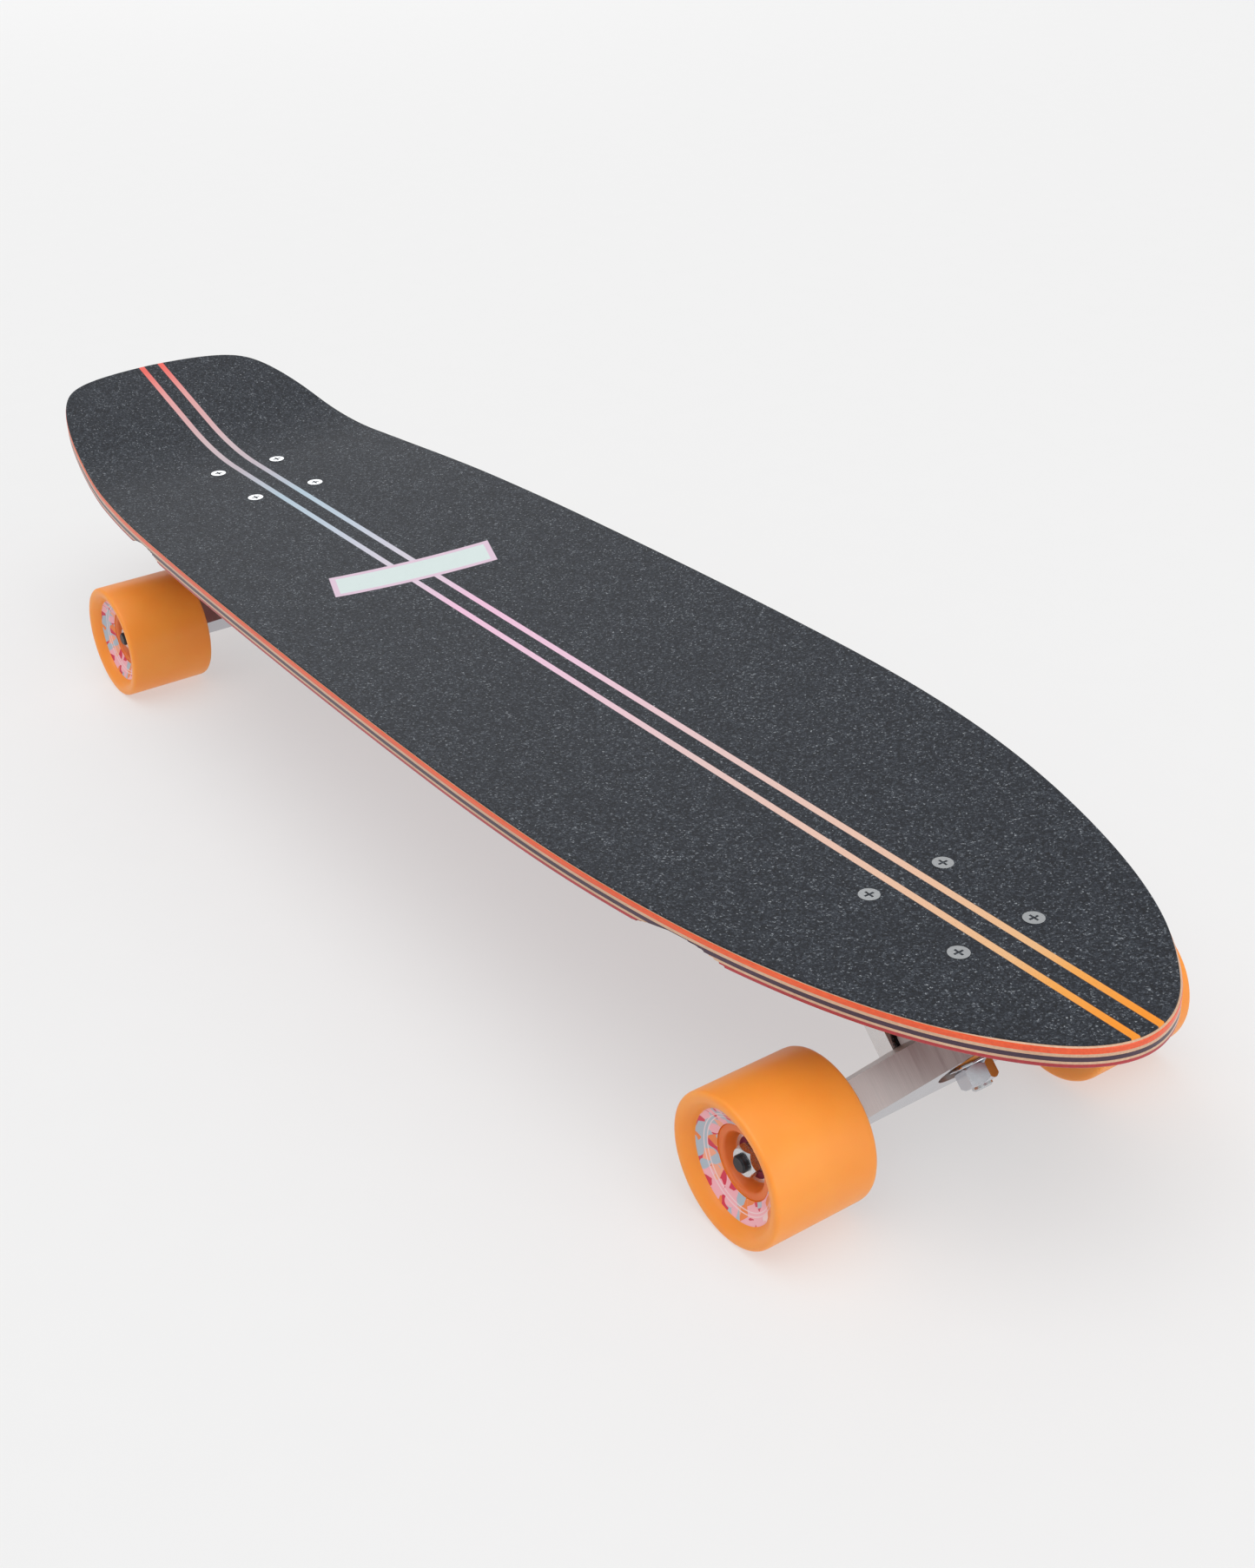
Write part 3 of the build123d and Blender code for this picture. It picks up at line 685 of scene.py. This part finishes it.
# %% Wheel materials
def urethane():
    """Satin orange urethane with a faint turned texture."""
    made = Finish("orange_urethane", Roughness=0.4, Specular_IOR_Level=0.42, Subsurface_Weight=0.35,
                  Subsurface_Scale=0.004, Subsurface_Radius=(1.0, 0.35, 0.08))
    place = made.place()
    cloud = made.noise(place, 30.0, 3.0)
    colour = made.ramp(cloud, [(0.3, srgb(251, 151, 54)), (0.7, srgb(254, 160, 64))])
    skin = made.noise(place, 1400.0, 2.0)
    made.bump(skin, 0.06, 0.0002)
    return made.finish(Base_Color=colour, Roughness=made.span(skin, 0.3, 0.7, 0.36, 0.44))


def ring_print():
    """Flat shapes of five inks over the dish, with two thin pale circles of painted highlight where the
    dish's slope changes.
    """
    made = Finish("ring_print", Roughness=0.3, Specular_IOR_Level=0.5)
    flat = made.add("TexCoord").outputs["UV"]
    bent = made.noise(flat, 3.0, 1.0)
    pushed = made.add("VectorMath", {"operation": "ADD"}, _0=flat,
                      _1=made.add("CombineXYZ", None, X=made.math("MULTIPLY", bent, 0.10), Y=0.0, Z=0.0))
    big = made.add("TexVoronoi", {"voronoi_dimensions": "2D", "distance": "MANHATTAN"},
                   Vector=pushed, Scale=9.0, Randomness=1.0)
    small = made.add("TexVoronoi", {"voronoi_dimensions": "2D", "distance": "EUCLIDEAN"},
                     Vector=flat, Scale=12.0, Randomness=1.0)
    inks = [(0.0, srgb(240, 135, 70)), (0.2, srgb(244, 178, 188)), (0.42, srgb(176, 190, 202)),
            (0.62, srgb(214, 56, 82)), (0.76, srgb(246, 170, 140)), (0.9, srgb(245, 214, 215))]
    base = made.ramp(made.math("MULTIPLY", big.outputs["Color"], 1.0), inks, "CONSTANT")
    over = made.ramp(made.math("MULTIPLY", small.outputs["Color"], 1.0), inks, "CONSTANT")
    pick = made.math("GREATER_THAN", made.noise(flat, 7.0, 0.0), 0.53)
    colour = made.mix(pick, base, over)
    away = made.add("VectorMath", {"operation": "LENGTH"}, _0=flat).outputs["Value"]
    reach = made.math("MULTIPLY", away, 50.0)
    # Two thin pale circles of painted highlight, standing in for light caught where the dish's slope
    # changes.
    for highlight_radius in (20.9, 22.3):
        painted_highlight_line = band(made, made.math("SUBTRACT", reach, highlight_radius), 0.22, 0.08)
        colour = made.mix(made.math("MULTIPLY", painted_highlight_line, 0.75), colour, (*srgb(246, 222, 224), 1))
    return made.finish(Base_Color=colour)


def hub_plastic():
    """Orange moulded plastic for the cores."""
    made = Finish("hub_plastic", Roughness=0.36, Subsurface_Weight=0.2, Subsurface_Scale=0.002)
    cloud = made.noise(made.place(), 60.0, 3.0)
    return made.finish(Base_Color=made.ramp(cloud, [(0.3, srgb(226, 108, 34)), (0.7, srgb(233, 118, 42))]))


URETHANE, PRINT, HUB = urethane(), ring_print(), hub_plastic()
print("wheel finishes:", URETHANE.name, PRINT.name, HUB.name)

# %% Make the wheels
PRINT_INNER, PRINT_OUTER, PRINT_FACE = 17.1 * MM, 25.6 * MM, 100 * MM


def make_wheel(corner, side):
    """The tyre and core of one wheel, riding on its body."""
    centre = front_axle if corner.startswith("front") else rear_axle
    tyre = turned(corner + "_tyre_cast", rounded(TYRE), centre, side)
    core = turned(corner + "_core_moulded", rounded(CORE), centre, side)
    tyre.data.materials.append(URETHANE)
    tyre.data.materials.append(PRINT)
    core.data.materials.append(HUB)
    for polygon in tyre.data.polygons:
        spot = polygon.center
        away = math.hypot(spot.x - centre.x, spot.z - centre.z)
        if PRINT_INNER < away < PRINT_OUTER and abs(spot.y) > PRINT_FACE:
            polygon.material_index = 1
    for piece, node, slot_name in ((tyre, "_tyre", "wheel_urethane"), (core, "_core", "core_plastic")):
        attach(piece, corner)
        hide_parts(corner + node)
    return tyre


corners = {"front_left_wheel": 1, "front_right_wheel": -1, "rear_left_wheel": 1, "rear_right_wheel": -1}
tyres = [make_wheel(corner, side) for corner, side in corners.items()]
print("turned", len(tyres), "wheels of", len(tyres[0].data.polygons), "faces each")

# %% [markdown]
# ## Metal, rubber and the small parts
# The trucks, bolts and bearings keep their CAD shapes. What makes them read as metal is how the
# shine is broken up: plating is nearly smooth, a cast face is softly mottled, and a linished
# face carries fine scratches in one direction that stretch its highlights.

# %% Metal materials
def metal(name, colour, rough, spread=0.06, grain=700.0, relief=0.05):
    """Bare or plated metal with a slightly uneven shine."""
    made = Finish(name, Metallic=1.0)
    place = made.place()
    fine = made.noise(place, grain, 4.0)
    cloud = made.noise(place, 90.0, 3.0)
    dull = tuple(0.8 * c for c in colour)
    tone = made.mix(made.span(cloud, 0.3, 0.7, 0.0, 0.12), (*colour, 1), (*dull, 1))
    made.bump(fine, relief, 0.0002)
    return made.finish(Base_Color=tone, Roughness=made.span(fine, 0.3, 0.7, rough - spread, rough + spread))


BUFFED_TONE, BUFFED_ROUGHNESS = (0.56, 0.57, 0.61, 1), 0.12
UNDERSIDE = (-0.15, -0.3)             # how far down a face looks before it counts as underneath


def linished(name, colour, rough):
    """Metal finished on a belt, with fine lines along the board and up; its underside is buffed."""
    made = Finish(name, Metallic=1.0)
    place = made.place()
    lines = made.noise(made.scaled(place, 40, 3200, 40), 1.0, 3.0, 0.7)
    broad = made.noise(made.scaled(place, 10, 420, 10), 1.0, 2.0)
    both = made.math("ADD", made.math("MULTIPLY", lines, 0.7), made.math("MULTIPLY", broad, 0.3))
    made.bump(both, 0.22, 0.0001)
    tone = made.mix(made.span(both, 0.35, 0.65), tuple(0.82 * c for c in colour) + (1,), (*colour, 1))
    facing = made.add("SeparateXYZ", None, Vector=made.add("TexCoord").outputs["Normal"]).outputs[2]
    buffed = made.span(facing, *UNDERSIDE)
    tone = made.mix(buffed, tone, BUFFED_TONE)
    lined = made.span(both, 0.35, 0.65, rough - 0.06, rough + 0.08)
    shine = made.math("SUBTRACT", lined, made.math("MULTIPLY", buffed, rough - BUFFED_ROUGHNESS))
    return made.finish(Base_Color=tone, Roughness=shine)


CAST = metal("polished_casting", (0.80, 0.79, 0.78), 0.24, 0.07, 300.0, 0.10)
BRUSHED = linished("linished_aluminium", (0.53, 0.48, 0.468), 0.38)
ZINC = metal("bright_zinc", (0.64, 0.66, 0.68), 0.26, 0.06, 900.0)
CHROME = metal("bright_chrome", (0.64, 0.65, 0.69), 0.12, 0.03, 400.0, 0.01)
BLACKED = metal("black_oxide", (0.045, 0.045, 0.05), 0.36)
GROUND = metal("ground_steel", (0.74, 0.75, 0.77), 0.20)
POLISHED = metal("polished_steel", (0.86, 0.87, 0.88), 0.06, 0.02, 500.0, 0.01)
LACQUER = metal("maroon_lacquer", srgb(112, 34, 62), 0.30, 0.04)
TURNED = metal("turned_aluminium", (0.80, 0.80, 0.82), 0.28)


def moulded(name, colour, rough):
    """Moulded rubber or urethane, matt and very slightly pitted."""
    made = Finish(name, Specular_IOR_Level=0.4)
    place = made.place()
    pits = made.noise(place, 1100.0, 3.0)
    tone = made.ramp(made.noise(place, 70.0, 3.0), [(0.3, tuple(0.85 * c for c in colour)), (0.7, colour)])
    made.bump(pits, 0.15, 0.0002)
    return made.finish(Base_Color=tone, Roughness=made.span(pits, 0.3, 0.7, rough - 0.06, rough + 0.06))


RUBBER = moulded("riser_rubber", (0.018, 0.018, 0.02), 0.62)
BUSHING = moulded("bushing_urethane", srgb(238, 150, 52), 0.34)
CUP = moulded("pivot_urethane", (0.03, 0.03, 0.032), 0.5)

FINISHES = {
    "riser_pad": RUBBER, "deck_bolts": ZINC, "deck_nuts": ZINC, "baseplate": CAST, "pivot_cup": CUP,
    "kingpin": ZINC, "kingpin_nut": CHROME, "bushing_washers": CHROME, "boardside_bushing": BUSHING,
    "roadside_bushing": BUSHING, "hanger": BRUSHED, "axle": BLACKED, "axle_nuts": ZINC,
    "speed_rings": ZINC, "bearing_inner_races": GROUND, "bearing_spacers": TURNED,
    "outer_races": GROUND, "bearing_balls": POLISHED, "bearing_shields": LACQUER,
}
dressed = 0
for node_name in nodes:
    for part_name, material in FINISHES.items():
        if node_name.endswith("_" + part_name) and not nodes[node_name].hide_render:
            wear(node_name, material)
            dressed += 1
shown = [name for name, made in nodes.items() if not made.hide_render]
print("dressed", dressed, "of", len(shown), "carried-over nodes")
